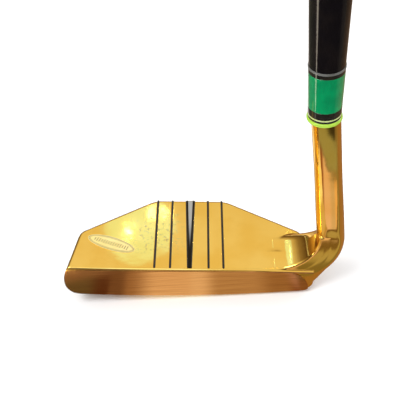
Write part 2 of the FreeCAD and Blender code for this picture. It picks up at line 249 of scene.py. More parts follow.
def line_groove(x, y, z, offset):
    """Straight groove with a round front end."""
    ahead = np.minimum(y - LINE_START - LINE_WIDTH / 2, 0)
    plan = np.hypot(x - offset, ahead) - LINE_WIDTH / 2
    return np.maximum(plan, -LINE_DEPTH - z)


def wedge_groove(x, y, z):
    """Groove that widens towards the back, round the inlaid wedge."""
    share = (y - LINE_START) / (LINE_RUN - LINE_START)
    width = WEDGE_FRONT_WIDTH + share * (WEDGE_BACK_WIDTH - WEDGE_FRONT_WIDTH)
    half = width / 2 + WEDGE_GAP
    plan = np.maximum(np.abs(x) - half, LINE_START - y)
    return np.maximum(plan, -WEDGE_DEPTH - z)


def plate_seat(x, y, z):
    """Shallow recess under the head that takes the sole plate."""
    cos, sin = math.cos(SEAT_TURN), math.sin(SEAT_TURN)
    from_x = x - SEAT_CENTRE[0]
    from_z = z - SEAT_CENTRE[1]
    along = from_x * cos - from_z * sin + SEAT_CENTRE[0]
    up = from_x * sin + from_z * cos
    outline = wall(along, y, SEAT_OUTLINE[-1], SEAT_OUTLINE[0])
    for start, end in zip(SEAT_OUTLINE, SEAT_OUTLINE[1:]):
        outline = np.maximum(outline, wall(along, y, start, end))
    return np.maximum(outline - SEAT_GAP, up - SEAT_DEPTH)


def head_body(x, y, z):
    """The head with no sole yet: top, walls, corners and front."""
    body = meet(z, outline_walls(x, y, z), TOP_EDGE_BLEND)
    body = meet(body, rounded_corner(x, z, TOE_CORNER, -1), BOTTOM_CORNER_BLEND)
    body = meet(body, rounded_corner(x, z, HEEL_CORNER, 1), BOTTOM_CORNER_BLEND)
    body = meet(body, face_front(x, y, z), FRONT_EDGE_BLEND)
    chamfer = CHAMFER + LIP_SWELL * ease(x, *LIP_SWELL_SPAN)
    body = meet(body, (z - y + chamfer) / math.sqrt(2), CRISP_BLEND)
    return meet(body, toe_facet(x, y, z), CRISP_BLEND)


def elbow_points():
    """Knee, run direction and elbow centre in the head frame, as (x, z)."""
    top = np.array(to_head(*BAR_TOP))
    knee = np.array(to_head(*BAR_KNEE))
    along = (top - knee) / np.hypot(*(top - knee))
    inward = np.array([-along[1], along[0]])
    return knee, along, knee + inward * ELBOW_RADIUS


def bar_offset(x, z):
    """Distance outside the bar's centre line, negative on the side of the crook."""
    knee, along, centre = elbow_points()
    rise = (x - knee[0]) * along[0] + (z - knee[1]) * along[1]
    straight = (x - knee[0]) * along[1] - (z - knee[1]) * along[0]
    bend = np.hypot(x - centre[0], z - centre[1]) - ELBOW_RADIUS
    return np.where(rise > 0, straight, bend)


def bar(x, y, z):
    """Round bar: straight above the knee, then a quarter turn into the heel."""
    knee, along, centre = elbow_points()
    rise = (x - knee[0]) * along[0] + (z - knee[1]) * along[1]
    past_end = np.maximum(centre[0] - x, 0) * (rise <= 0)
    radius = BAR_RADIUS + BAR_SWELL * (1 - ease(z, *BAR_SWELL_SPAN))
    return np.sqrt(bar_offset(x, z) ** 2 + past_end ** 2 + (y - SHAFT_Y) ** 2) - radius


def web(x, y, z):
    """Web in the crook: flat in front, hollowed on top by the scoop."""
    knee, along, centre = elbow_points()
    reach = SCOOP_RADIUS + BAR_RADIUS
    slide = (SCOOP_RADIUS - centre[1]) / along[1]
    scoop = knee + along * slide + np.array([-along[1], along[0]]) * reach
    scoop[1] = SCOOP_RADIUS
    hollow = SCOOP_RADIUS - np.hypot(x - scoop[0], z - scoop[1])
    rise = (x - scoop[0]) * along[0] + (z - scoop[1]) * along[1]
    plan = np.maximum(np.maximum(hollow, rise), scoop[0] - x)
    plan = np.maximum(plan, bar_offset(x, z))
    behind = (y + WEB_BACK_SLOPE * z - WEB_BACK) / math.hypot(1, WEB_BACK_SLOPE)
    plan = meet(plan, wall(x, y, HEEL_SHOULDER, WEB_OUTER_END), WEB_WALL_BLEND)
    slab = np.maximum(WEB_FRONT - y, behind)
    return meet(plan, slab, WEB_FRONT_BLEND + WEB_BACK_BLEND * ease(y, *WEB_BLEND_SPAN))


def heel_fill(x, y, z):
    """Material that carries the outside of the elbow smoothly into the sole."""
    limb = np.abs(bar_offset(x, z)) - BAR_RADIUS
    corner = np.maximum(rounded_corner(x, z, HEEL_CORNER, 1), z + FILL_CORNER_DROP)
    plan = np.maximum(join(limb, corner, FILL_BLEND) + FILL_DRAW_IN, FILL_INNER_X - x)
    plan = meet(plan, z - FILL_TOP, FILL_TOP_BLEND)
    slab = np.maximum(WEB_FRONT - y, y - 2 * SHAFT_Y)
    return meet(plan, slab, FILL_SIDE_BLEND)


def skin_distance(x, y, z):
    """Signed distance to the whole gold skin, in the head frame."""
    low = 1 - ease(z, *LIMB_FLAT_SPAN)
    limb = meet(bar(x, y, z), (WEB_FRONT - y) - (1 - low) * LIMB_FLAT_FADE, LIMB_FRONT_BLEND)
    joint_blend = CRISP_BLEND + JOINT_BACK_BLEND * ease(y, *JOINT_SPAN)
    whole = join(head_body(x, y, z), limb, joint_blend)
    whole = join(whole, heel_fill(x, y, z), CRISP_BLEND)
    whole = join(whole, web(x, y, z), CRISP_BLEND)
    sole = np.hypot(x - CAMBER_CENTRE[0], z - CAMBER_CENTRE[1]) - CAMBER_RADIUS
    whole = meet(whole, sole, SOLE_BLEND)
    for offset in LINE_OFFSETS:
        whole = meet(whole, -line_groove(x, y, z, offset), GROOVE_BLEND)
    whole = meet(whole, -wedge_groove(x, y, z), WEDGE_GROOVE_BLEND)
    whole = meet(whole, -plate_seat(x, y, z), GROOVE_BLEND)
    row_z = to_row(x, z)[1]
    return meet(whole, row_z - BAR_TOP[1], CRISP_BLEND)


# ---- meshing

def spaced(spans):
    """Grid line positions from (start, end, step) spans that follow each other."""
    runs = []
    for start, end, step in spans:
        count = max(1, round((end - start) / step))
        runs.append(np.linspace(start, end, count, endpoint=False))
    runs.append([spans[-1][1]])
    return np.concatenate(runs)


def skin_grid():
    """Grid lines, closer together where the grooves and edges are."""
    narrow = FINE / 2
    across = [(-63.5, -17.4, FINE)]
    across += [(-17.4, -15.6, narrow), (-15.6, -10.0, FINE), (-10.0, -8.2, narrow)]
    across += [(-8.2, -3.4, FINE), (-3.4, 3.4, narrow), (3.4, 8.1, FINE)]
    across += [(8.1, 9.9, narrow), (9.9, 15.1, FINE), (15.1, 16.9, narrow), (16.9, 72.0, FINE)]
    deep = [(-1.0, 2.2, narrow), (2.2, 51.5, FINE)]
    high = [(-22.0, -1.6, FINE), (-1.6, 0.3, narrow), (0.3, 16.0, FINE), (16.0, 91.0, 2 * FINE)]
    return spaced(across), spaced(deep), spaced(high)


def sample(distance, grid):
    """Distances on the grid, worked out only in blocks that the surface may cross."""
    groups = [np.arange(len(line)) // SAMPLE_BLOCK for line in grid]
    centres = []
    halves = []
    for line, group in zip(grid, groups):
        low = np.array([line[group == g].min() for g in range(group[-1] + 1)])
        high = np.array([line[group == g].max() for g in range(group[-1] + 1)])
        centres.append((low + high) / 2)
        halves.append((high - low) / 2)
    cx, cy, cz = np.meshgrid(*centres, indexing="ij")
    hx, hy, hz = np.meshgrid(*halves, indexing="ij")
    rough = distance(cx, cy, cz)
    reach = 1.3 * np.sqrt(hx ** 2 + hy ** 2 + hz ** 2) + 1.0
    near = np.abs(rough) < reach
    field = rough[np.ix_(*groups)]
    close = np.nonzero(near[np.ix_(*groups)])
    x, y, z = [line[index] for line, index in zip(grid, close)]
    field[close] = distance(x, y, z)
    return field


def cell_corners():
    return [(i, j, k) for i in (0, 1) for j in (0, 1) for k in (0, 1)]


def crossing_points(field, grid, cells):
    """For each cell, the mean of the points where the surface crosses its edges."""
    total = np.zeros((len(cells[0]), 3))
    count = np.zeros(len(cells[0]))
    for a in cell_corners():
        for axis in range(3):
            if a[axis] == 1:
                continue
            b = list(a)
            b[axis] = 1
            index_a = [cell + step for cell, step in zip(cells, a)]
            index_b = [cell + step for cell, step in zip(cells, b)]
            value_a = field[tuple(index_a)]
            value_b = field[tuple(index_b)]
            crossed = (value_a < 0) != (value_b < 0)
            share = np.where(crossed, value_a / np.where(crossed, value_a - value_b, 1), 0)
            for d in range(3):
                start = grid[d][index_a[d]]
                end = grid[d][index_b[d]]
                total[:, d] += np.where(crossed, start + share * (end - start), 0)
            count += crossed
    return total / count[:, None]


def surface_net(field, grid):
    """Points and quads of the zero surface of a sampled distance."""
    inside = field < 0
    shape = [n - 1 for n in field.shape]
    filled = np.zeros(shape, np.int8)
    for i, j, k in cell_corners():
        filled += inside[i:i + shape[0], j:j + shape[1], k:k + shape[2]]
    cells = np.nonzero((filled > 0) & (filled < 8))
    number = np.full(shape, -1)
    number[cells] = np.arange(len(cells[0]))
    points = crossing_points(field, grid, cells)
    quads = []
    for axis in range(3):
        low = [slice(None)] * 3
        high = [slice(None)] * 3
        low[axis] = slice(None, -1)
        high[axis] = slice(1, None)
        goes_out = inside[tuple(low)] & ~inside[tuple(high)]
        comes_in = ~inside[tuple(low)] & inside[tuple(high)]
        u, v = [(1, 2), (2, 0), (0, 1)][axis]
        for changed, ring in ((goes_out, 1), (comes_in, -1)):
            at = np.array(np.nonzero(changed))
            around = []
            for du, dv in ((-1, -1), (0, -1), (0, 0), (-1, 0))[::ring]:
                spot = at.copy()
                spot[u] += du
                spot[v] += dv
                around.append(number[tuple(spot)])
            quads.append(np.stack(around, axis=1))
    return points, np.concatenate(quads)


def slope(distance, points, step=0.04):
    """Outward slope of the distance at each point, and its size."""
    x, y, z = points.T
    parts = []
    for dx, dy, dz in ((step, 0, 0), (0, step, 0), (0, 0, step)):
        ahead = distance(x + dx, y + dy, z + dz)
        behind = distance(x - dx, y - dy, z - dz)
        parts.append((ahead - behind) / (2 * step))
    direction = np.stack(parts, axis=1)
    return direction, np.linalg.norm(direction, axis=1)


def settle(distance, points, reach, rounds=2):
    """Move points along the slope onto the surface, no further than reach."""
    for _ in range(rounds):
        direction, size = slope(distance, points)
        size = np.maximum(size, LEAST_SLOPE)
        gap = distance(*points.T) / size
        gap = np.clip(gap, -reach, reach)
        points = points - direction / size[:, None] * gap[:, None]
    return points


def link(obj):
    bpy.context.scene.collection.objects.link(obj)
    return obj


def mesh_object(name, points, faces):
    mesh = bpy.data.meshes.new(name)
    mesh.from_pydata([tuple(p) for p in points], [], [tuple(f) for f in faces])
    mesh.update()
    return link(bpy.data.objects.new(name, mesh))


def apply_modifiers(obj):
    """Bake the modifiers into the object's own mesh."""
    bpy.context.view_layer.update()
    shaped = obj.evaluated_get(bpy.context.evaluated_depsgraph_get())
    mesh = bpy.data.meshes.new_from_object(shaped)
    obj.modifiers.clear()
    obj.data = mesh


def read_points(mesh):
    points = np.zeros(len(mesh.vertices) * 3)
    mesh.vertices.foreach_get("co", points)
    return points.reshape(-1, 3)


def skin_to_row(points):
    x, z = to_row(points[:, 0], points[:, 2])
    return np.stack([x, points[:, 1], z], axis=1) * MM


def make_skin():
    """Gold skin of head, neck and web: meshed, thinned where flat, normals from the shape."""
    grid = skin_grid()
    points, quads = surface_net(sample(skin_distance, grid), grid)
    points = settle(skin_distance, points, FINE)
    skin = mesh_object("gold_head_and_neck", points, quads.tolist())
    thin = skin.modifiers.new("thin", "DECIMATE")
    thin.ratio = min(1.0, SKIN_FACES / (2 * len(quads)))
    apply_modifiers(skin)
    points = settle(skin_distance, read_points(skin.data), FINE / 2, rounds=1)
    direction, size = slope(skin_distance, points, 0.08)
    direction /= np.maximum(size, 1e-6)[:, None]
    origin = np.array(to_row(0.0, 0.0))
    tip_x, tip_z = to_row(direction[:, 0], direction[:, 2])
    normals = np.stack([tip_x - origin[0], direction[:, 1], tip_z - origin[1]], axis=1)
    skin.data.vertices.foreach_set("co", skin_to_row(points).ravel())
    skin.data.polygons.foreach_set("use_smooth", [True] * len(skin.data.polygons))
    skin.data.update()
    skin.data.normals_split_custom_set_from_vertices(normals.tolist())
    return skin


SKIN = make_skin()
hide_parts("head_shell", "neck", "neck_fillet")
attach(SKIN, "root")


# ---- turned pieces

TIP_BOTTOM = 92.9
SHOULDER_Z = 114.3
SHOULDER_RADIUS = 6.85
TIP_RADIUS = 5.6
SPIGOT_RADIUS = 4.6
GLUE_GAP = 0.2
TIP_CLEARANCE = 0.05
SHAFT_BORE = 7.0
BORE_STEP_Z = 144.0
FLARE_Z = 152.0
SHAFT_RADIUS = 7.6
BUTT_RADIUS = 7.45
FERRULE_LOW = 89.5
FERRULE_BOTTOM_RADIUS = 6.5
FERRULE_TOP_RADIUS = 7.0
BUTT_Z = 877.0
CAP_HEIGHT = 4.0
CAP_RADIUS = 10.4
VENT_RADIUS = 1.6
GRIP_LENGTH = 266.0
GRIP_TOP = BUTT_Z - CAP_HEIGHT
TURNED_SIDES = 96
# Each ferrule ring: piece, CAD node, slot, lower face, upper face, how far it stands proud.
FERRULE_RINGS = [
    ("lime_end_ring", "ferrule_end_ring", "ferrule_lime", 89.5, 91.3, 0.55),
    ("lower_spacer_ring", "ferrule_lower_spacer", "ferrule_black", 91.3, 92.3, 0.0),
    ("pale_pinstripe_ring", "ferrule_pinstripe", "ferrule_pale", 92.3, TIP_BOTTOM, 0.05),
    ("black_collar_ring", "ferrule_collar", "ferrule_black", TIP_BOTTOM, 96.1, 0.0),
    ("green_band_ring", "ferrule_green_band", "ferrule_green", 96.1, 111.7, 0.0),
    ("upper_spacer_ring", "ferrule_upper_spacer", "ferrule_black", 111.7, 113.4, 0.0),
    ("grey_trim_ring", "ferrule_trim_ring", "ferrule_grey", 113.4, SHOULDER_Z, 0.1),
]
# Grip sections: share of the length, side radius, reach of the back, depth of the flat front.
GRIP_SECTIONS = [
    (0.0, 9.6, 9.6, 9.0),
    (0.35, 11.2, 11.6, 9.6),
    (0.65, 12.3, 13.2, 10.0),
    (0.86, 13.2, 16.0, 10.4),
    (1.0, 13.4, 14.6, 10.6),
]


def shade_smooth(obj, sharp_degrees=35.0):
    """Smooth shading with edges sharper than the angle left crisp."""
    data = bmesh.new()
    data.from_mesh(obj.data)
    bmesh.ops.recalc_face_normals(data, faces=data.faces)
    limit = math.radians(sharp_degrees)
    for edge in data.edges:
        edge.smooth = len(edge.link_faces) == 2 and edge.calc_face_angle(0.0) < limit
    for face in data.faces:
        face.smooth = True
    data.to_mesh(obj.data)
    data.free()


def turned(name, outline):
    """Ring turned about the shaft line from a closed (radius, z) outline in millimetres."""
    points = []
    faces = []
    count = len(outline)
    for step in range(TURNED_SIDES):
        angle = 2 * math.pi * step / TURNED_SIDES
        ahead = (step + 1) % TURNED_SIDES
        for index, (radius, z) in enumerate(outline):
            x = SHAFT_X + radius * math.cos(angle)
            y = SHAFT_Y + radius * math.sin(angle)
            points.append((x * MM, y * MM, z * MM))
            after = (index + 1) % count
            faces.append((
                step * count + index,
                ahead * count + index,
                ahead * count + after,
                step * count + after,
            ))
    piece = mesh_object(name, points, faces)
    shade_smooth(piece)
    return piece


def stand_in(piece, node):
    """Ride on the part and stand for one CAD node."""
    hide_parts(node)
    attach(piece, "root")
    return piece


def ferrule_radius(z):
    share = (z - FERRULE_LOW) / (SHOULDER_Z - FERRULE_LOW)
    return FERRULE_BOTTOM_RADIUS + share * (FERRULE_TOP_RADIUS - FERRULE_BOTTOM_RADIUS)


def ring_outline(low, high, proud):
    """Outline of a ferrule ring: eased edges, and a full bead where it stands well proud."""
    inner = SPIGOT_RADIUS if low < TIP_BOTTOM else TIP_RADIUS
    soft = min(0.12, (high - low) / 4)
    low_radius = ferrule_radius(low)
    high_radius = ferrule_radius(high)
    outline = [(inner, low), (low_radius - soft / 2, low)]
    if proud > 0.3:
        for step in range(9):
            angle = math.pi * step / 8
            radius = low_radius + proud * math.sin(angle)
            outline.append((radius, (low + high) / 2 - (high - low) / 2.2 * math.cos(angle)))
    else:
        outline.append((low_radius + proud, low + soft / 2))
        outline.append((high_radius + proud, high - soft / 2))
    return outline + [(high_radius - soft / 2, high), (inner, high)]


def make_ferrule():
    rings = {}
    for name, node, slot_name, low, high, proud in FERRULE_RINGS:
        ring = turned(name, ring_outline(low, high, proud))
        rings[name] = stand_in(ring, node)
    return rings


def make_shaft():
    top = GRIP_TOP - 1.0
    butt_step = GRIP_TOP - GRIP_LENGTH
    outline = [
        (SPIGOT_RADIUS + GLUE_GAP, TIP_BOTTOM + TIP_CLEARANCE),
        (TIP_RADIUS - TIP_CLEARANCE, TIP_BOTTOM + TIP_CLEARANCE),
        (TIP_RADIUS - TIP_CLEARANCE, SHOULDER_Z),
        (SHOULDER_RADIUS - 0.12, SHOULDER_Z),
        (SHOULDER_RADIUS, SHOULDER_Z + 0.12),
        (SHAFT_RADIUS - 0.06, FLARE_Z - 6),
        (SHAFT_RADIUS, FLARE_Z + 2),
        (SHAFT_RADIUS, butt_step),
        (BUTT_RADIUS, butt_step),
        (BUTT_RADIUS, top),
        (SHAFT_BORE, top),
        (SHAFT_BORE, FLARE_Z + 6),
        (SPIGOT_RADIUS + GLUE_GAP, BORE_STEP_Z),
    ]
    return stand_in(turned("black_shaft_tube", outline), "shaft")


def make_cap():
    outline = [
        (VENT_RADIUS, GRIP_TOP),
        (CAP_RADIUS, GRIP_TOP),
        (CAP_RADIUS, GRIP_TOP + 2.4),
        (CAP_RADIUS - 0.35, GRIP_TOP + 3.3),
        (CAP_RADIUS - 1.2, GRIP_TOP + 3.9),
        (CAP_RADIUS - 3.4, BUTT_Z),
        (CAP_RADIUS - 3.7, BUTT_Z - 0.5),
        (VENT_RADIUS + 1.6, BUTT_Z - 0.5),
        (VENT_RADIUS + 1.3, BUTT_Z),
        (VENT_RADIUS + 0.3, BUTT_Z),
        (VENT_RADIUS, BUTT_Z - 0.3),
    ]
    return stand_in(turned("vented_end_cap", outline), "grip_cap")


# ---- grip

GRIP_RINGS = 266
GRIP_SIDES = 96
FRONT_SQUARENESS = 3.4
FRONT_LIMIT_RADIUS = 13.4
FRONT_LIMIT_EASE = 1.08
TAPE_THICKNESS = 0.25
END_ROUND_SHARE = 0.008
END_ROUND_DROP = 0.8
RING_GROOVES = (0.03, 0.045, 0.06, 0.94, 0.955, 0.97)
RING_GROOVE_DEPTH = 0.45
RING_GROOVE_WIDTH = 0.0022
BAR_GROOVE_DEPTH = 0.35
BAR_GROOVE_COUNT = 44
GRIP_SHARES, *GRIP_REACHES = np.array(GRIP_SECTIONS).T
GRIP_CURVES = [np.polyfit(GRIP_SHARES, reach, 4) for reach in GRIP_REACHES]


def grip_size(share):
    """Side radius, back reach and front depth at a share of the length."""
    return [np.polyval(curve, share) for curve in GRIP_CURVES]


def grip_groove(share, angle):
    """Depth of the moulded lines: rings at both ends and short bars up the flat front."""
    depth = 0.0
    for centre in RING_GROOVES:
        offset = (share - centre) / RING_GROOVE_WIDTH
        depth += RING_GROOVE_DEPTH * math.exp(-offset ** 2)
    facing = max(0.0, -math.cos(angle)) ** 4
    if 0.1 < share < 0.9:
        wave = math.cos(share * 2 * math.pi * BAR_GROOVE_COUNT)
        depth += BAR_GROOVE_DEPTH * facing * max(0.0, wave) ** 6
    return depth


def grip_point(share, angle):
    side, back, front = grip_size(share)
    cos, sin = math.cos(angle), math.sin(angle)
    if cos >= 0:
        radius = 1 / math.sqrt((cos / back) ** 2 + (sin / side) ** 2)
    else:
        power = FRONT_SQUARENESS
        radius = (abs(cos / front) ** power + abs(sin / side) ** power) ** (-1 / power)
        limit = (cos / FRONT_LIMIT_RADIUS) ** 2 + (sin / side) ** 2
        radius = min(radius, 1 / math.sqrt(min(1, limit)) * FRONT_LIMIT_EASE)
    round_over = min(1.0, min(share, 1 - share) / END_ROUND_SHARE)
    radius -= grip_groove(share, angle)
    radius -= END_ROUND_DROP * (1 - math.sqrt(1 - (1 - round_over) ** 2))
    z = GRIP_TOP - GRIP_LENGTH * (1 - share)
    return ((SHAFT_X + radius * cos) * MM, (SHAFT_Y + radius * sin) * MM, z * MM)


def make_grip():
    """Pistol grip sleeve with an open bore, lofted from smooth sections."""
    points = []
    bore = BUTT_RADIUS + TAPE_THICKNESS
    shares = list(np.linspace(0, 1, GRIP_RINGS))
    for share in shares:
        for step in range(GRIP_SIDES):
            points.append(grip_point(share, 2 * math.pi * step / GRIP_SIDES))
    for share in (1.0, 0.0):
        z = GRIP_TOP - GRIP_LENGTH * (1 - share)
        for step in range(GRIP_SIDES):
            angle = 2 * math.pi * step / GRIP_SIDES
            x = SHAFT_X + bore * math.cos(angle)
            y = SHAFT_Y + bore * math.sin(angle)
            points.append((x * MM, y * MM, z * MM))
    rows = GRIP_RINGS + 2
    faces = []
    for row in range(rows):
        above = (row + 1) % rows
        for step in range(GRIP_SIDES):
            ahead = (step + 1) % GRIP_SIDES
            corners = ((row, step), (row, ahead), (above, ahead), (above, step))
            faces.append([ring * GRIP_SIDES + place for ring, place in corners])
    grip = mesh_object("pistol_grip_sleeve", points, faces)
    shade_smooth(grip, 50.0)
    return stand_in(grip, "grip")


# ---- label

LABEL_CENTRE = (-38.0, 16.0)
LABEL_LONG = 12.3
LABEL_SHORT = 4.1
LABEL_THICKNESS = 0.12
LABEL_TURN = math.radians(-21.0)
LABEL_SIDES = 72
# Rims printed on the label: how far in from the edge, and how wide.
LABEL_RIMS = [(0.35, 0.28), (1.0, 0.2)]
PRINT_SINK = 0.02
PRINT_PROUD = 0.015
TICK_COUNT = 15
TICK_PITCH = 1.22
TICK_TALL = 1.25
TICK_SHORT = 0.9
TICK_HALF_WIDTH = 0.2


def label_point(u, v, height):
    """Place on the top surface from label coordinates, in metres in the row frame."""
    x = LABEL_CENTRE[0] + u * math.cos(LABEL_TURN) - v * math.sin(LABEL_TURN)
    y = LABEL_CENTRE[1] + u * math.sin(LABEL_TURN) + v * math.cos(LABEL_TURN)
    row_x, row_z = to_row(x, height)
    return (row_x * MM, y * MM, row_z * MM)


def oval_ring(inset, width, low, high):
    """Points and faces of a flat oval band, or of a full oval where width is 0."""
    points = []
    insets = (inset, inset + width) if width else (inset,)
    for depth in insets:
        for height in (low, high):
            for step in range(LABEL_SIDES):
                angle = 2 * math.pi * step / LABEL_SIDES
                u = (LABEL_LONG - depth) * math.cos(angle)
                v = (LABEL_SHORT - depth) * math.sin(angle)
                points.append(label_point(u, v, height))
    faces = []
    loops = [0, 1, 3, 2] if width else [0, 1]
    pairs = list(zip(loops, loops[1:] + loops[:1])) if width else [(0, 1)]
    for low_loop, high_loop in pairs:
        for step in range(LABEL_SIDES):
            ahead = (step + 1) % LABEL_SIDES
            faces.append((
                low_loop * LABEL_SIDES + step,
                low_loop * LABEL_SIDES + ahead,
                high_loop * LABEL_SIDES + ahead,
                high_loop * LABEL_SIDES + step,
            ))
    if not width:
        faces.append(list(range(LABEL_SIDES)))
        faces.append([LABEL_SIDES + step for step in range(LABEL_SIDES)])
    return points, faces


def tick_marks(low, high):
    """A row of plain upright ticks along the middle of the label."""
    points = []
    faces = []
    for index in range(TICK_COUNT):
        u = (index - (TICK_COUNT - 1) / 2) * TICK_PITCH
        half_height = TICK_TALL if index % 3 else TICK_SHORT
        start = len(points)
        for height in (low, high):
            for du, dv in ((-1, -1), (1, -1), (1, 1), (-1, 1)):
                points.append(label_point(u + du * TICK_HALF_WIDTH, dv * half_height, height))
        faces += [[start + i for i in side] for side in (
            (0, 1, 2, 3), (4, 5, 6, 7), (0, 1, 5, 4), (1, 2, 6, 5), (2, 3, 7, 6), (3, 0, 4, 7))]
    return points, faces


def combine(parts):
    """One list of points and faces from several."""
    points = []
    faces = []
    for part_points, part_faces in parts:
        start = len(points)
        points += part_points
        faces += [[start + i for i in face] for face in part_faces]
    return points, faces


def make_label():
    plate = mesh_object("oval_label", *oval_ring(0.0, 0.0, -PRINT_SINK, LABEL_THICKNESS))
    shade_smooth(plate)
    stand_in(plate, "finish_label")
    low, high = LABEL_THICKNESS - PRINT_SINK, LABEL_THICKNESS + PRINT_PROUD
    rims = [oval_ring(inset, width, low, high) for inset, width in LABEL_RIMS]
    marks = mesh_object("label_printed_lines", *combine(rims + [tick_marks(low, high)]))
    shade_smooth(marks)
    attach(marks, "root")
    return plate, marks


RINGS = make_ferrule()
SHAFT = make_shaft()
CAP = make_cap()
GRIP = make_grip()
LABEL, LABEL_LINES = make_label()


# ---- materials

class Paint:
    """One node material, with short calls for the nodes it needs."""

    def __init__(self, name):
        self.material = bpy.data.materials.new(name)
        self.material.use_nodes = True
        self.tree = self.material.node_tree
        self.shader = self.tree.nodes["Principled BSDF"]
        self.place = None

    def node(self, kind, **settings):
        made = self.tree.nodes.new("ShaderNode" + kind)
        for key, value in settings.items():
            setattr(made, key, value)
        return made

    def feed(self, socket, value):
        if isinstance(value, bpy.types.NodeSocket):
            self.tree.links.new(value, socket)
        elif isinstance(value, (tuple, list)) and len(value) == 3 and socket.type == "RGBA":
            socket.default_value = (*value, 1.0)
        else:
            socket.default_value = value

    def math(self, operation, a, b=0.0):
        made = self.node("Math", operation=operation)
        self.feed(made.inputs[0], a)
        self.feed(made.inputs[1], b)
        return made.outputs[0]

    def line(self, value, factor, offset):
        """The value times the factor, plus the offset."""
        made = self.node("Math", operation="MULTIPLY_ADD")
        for socket, given in zip(made.inputs, (value, factor, offset)):
            self.feed(socket, given)
        return made.outputs[0]

    def spot(self):
        """Position in millimetres in the row frame."""
        if self.place is None:
            coords = self.node("TexCoord")
            scaled = self.node("VectorMath", operation="SCALE")
            self.feed(scaled.inputs[0], coords.outputs["Object"])
            scaled.inputs["Scale"].default_value = 1000.0
            self.place = scaled.outputs[0]
        return self.place

    def axes(self):
        split = self.node("SeparateXYZ")
        self.feed(split.inputs[0], self.spot())
        return split.outputs[0], split.outputs[1], split.outputs[2]

    def head_height(self):
        """Height above the top surface of the head, in millimetres."""
        x, _, z = self.axes()
        tipped = self.math("MULTIPLY", x, math.sin(TOE_UP))
        raised = self.line(z, math.cos(TOE_UP), tipped)
        return self.math("SUBTRACT", raised, FACE_CENTRE_DROP)

    def step(self, value, low, high):
        """Smooth step: 0 at low, 1 at high; low may be the larger."""
        made = self.node("MapRange", interpolation_type="SMOOTHSTEP")
        self.feed(made.inputs[0], value)
        made.inputs[1].default_value = low
        made.inputs[2].default_value = high
        return made.outputs[0]

    def span(self, value, low, high, soft):
        """1 between low and high, falling to 0 over soft outside."""
        up = self.step(value, low - soft, low)
        down = self.step(value, high + soft, high)
        return self.math("MULTIPLY", up, down)

    def blend(self, factor, a, b):
        made = self.node("Mix", data_type="RGBA")
        self.feed(made.inputs[0], factor)
        self.feed(made.inputs[6], a)
        self.feed(made.inputs[7], b)
        return made.outputs[2]

    def noise(self, scale, detail=3.0, stretch=(1, 1, 1), shift=(0, 0, 0), rough=0.5):
        """Noise of the position in millimetres; scale is features per millimetre."""
        mapped = self.node("Mapping")
        self.feed(mapped.inputs["Vector"], self.spot())
        mapped.inputs["Scale"].default_value = stretch
        mapped.inputs["Location"].default_value = shift
        made = self.node("TexNoise")
        self.feed(made.inputs["Vector"], mapped.outputs[0])
        made.inputs["Scale"].default_value = scale
        made.inputs["Detail"].default_value = detail
        made.inputs["Roughness"].default_value = rough
        return made.outputs["Fac"]

    def bump(self, height, distance, below=None):
        """Bump from a height of 0 to 1 that stands for distance in metres."""
        made = self.node("Bump")
        made.inputs["Strength"].default_value = 1.0
        made.inputs["Distance"].default_value = distance
        self.feed(made.inputs["Height"], height)
        if below is not None:
            self.feed(made.inputs["Normal"], below)
        return made.outputs[0]

    def set(self, **values):
        for key, value in values.items():
            self.feed(self.shader.inputs[key.replace("_", " ")], value)

    def dress(self, obj):
        obj.data.materials.clear()
        obj.data.materials.append(self.material)


TOP_GOLD = (0.93, 0.545, 0.088)
PALE_GOLD = (0.98, 0.62, 0.13)
TARNISH = (0.50, 0.40, 0.14)
FACE_COPPER = (0.66, 0.33, 0.10)
FACE_COPPER_DARK = (0.50, 0.23, 0.06)


def gold_skin():
    """Polished gold plate: mottled top, coppery brushed face, fine wear everywhere."""
    paint = Paint("polished_gold_plate")
    x, y, _ = paint.axes()
    height = paint.head_height()
    patches = paint.step(paint.noise(0.05, 3.0), 0.35, 0.7)
    colour = paint.blend(patches, TOP_GOLD, PALE_GOLD)
    mottle = paint.step(paint.noise(0.5, 5.0, shift=(7, 3, 0), rough=0.65), 0.52, 0.68)
    zone_x = paint.span(x, -24.0, -8.0, 9.0)
    zone_y = paint.span(y, 16.0, 34.0, 9.0)
    zone = paint.math("MULTIPLY", zone_x, zone_y)
    stain = paint.math("MULTIPLY", mottle, paint.math("MULTIPLY", zone, 0.8))
    colour = paint.blend(stain, colour, TARNISH)
    on_face = paint.math("MULTIPLY", paint.step(y, 0.45, 0.2), paint.step(height, -0.95, -1.25))
    streaks = paint.noise(1.0, 4.0, stretch=(0.03, 0.4, 2.2))
    face = paint.blend(paint.step(streaks, 0.35, 0.75), FACE_COPPER, FACE_COPPER_DARK)
    colour = paint.blend(on_face, colour, face)
    smudge = paint.noise(0.12, 4.0, shift=(20, 0, 5))
    smeared = paint.line(smudge, 0.08, 0.05)
    polish = paint.line(stain, 0.35, smeared)
    brushed = paint.line(streaks, 0.18, 0.14)
    rough = paint.node("Mix", data_type="FLOAT")
    paint.feed(rough.inputs[0], on_face)
    paint.feed(rough.inputs[2], paint.math("MAXIMUM", polish, 0.06))
    paint.feed(rough.inputs[3], brushed)
    waves = paint.bump(paint.noise(0.09, 2.0, shift=(3, 9, 1)), 0.00010)
    scratches = paint.noise(2.4, 3.0, stretch=(0.12, 1.0, 1.0), shift=(1, 4, 2))
    fine = paint.bump(scratches, 0.000006, waves)
    brushing = paint.math("MULTIPLY", streaks, on_face)
    fine = paint.bump(brushing, 0.00003, fine)
    paint.set(Base_Color=colour, Metallic=1.0, Roughness=rough.outputs[0], Normal=fine)
    return paint


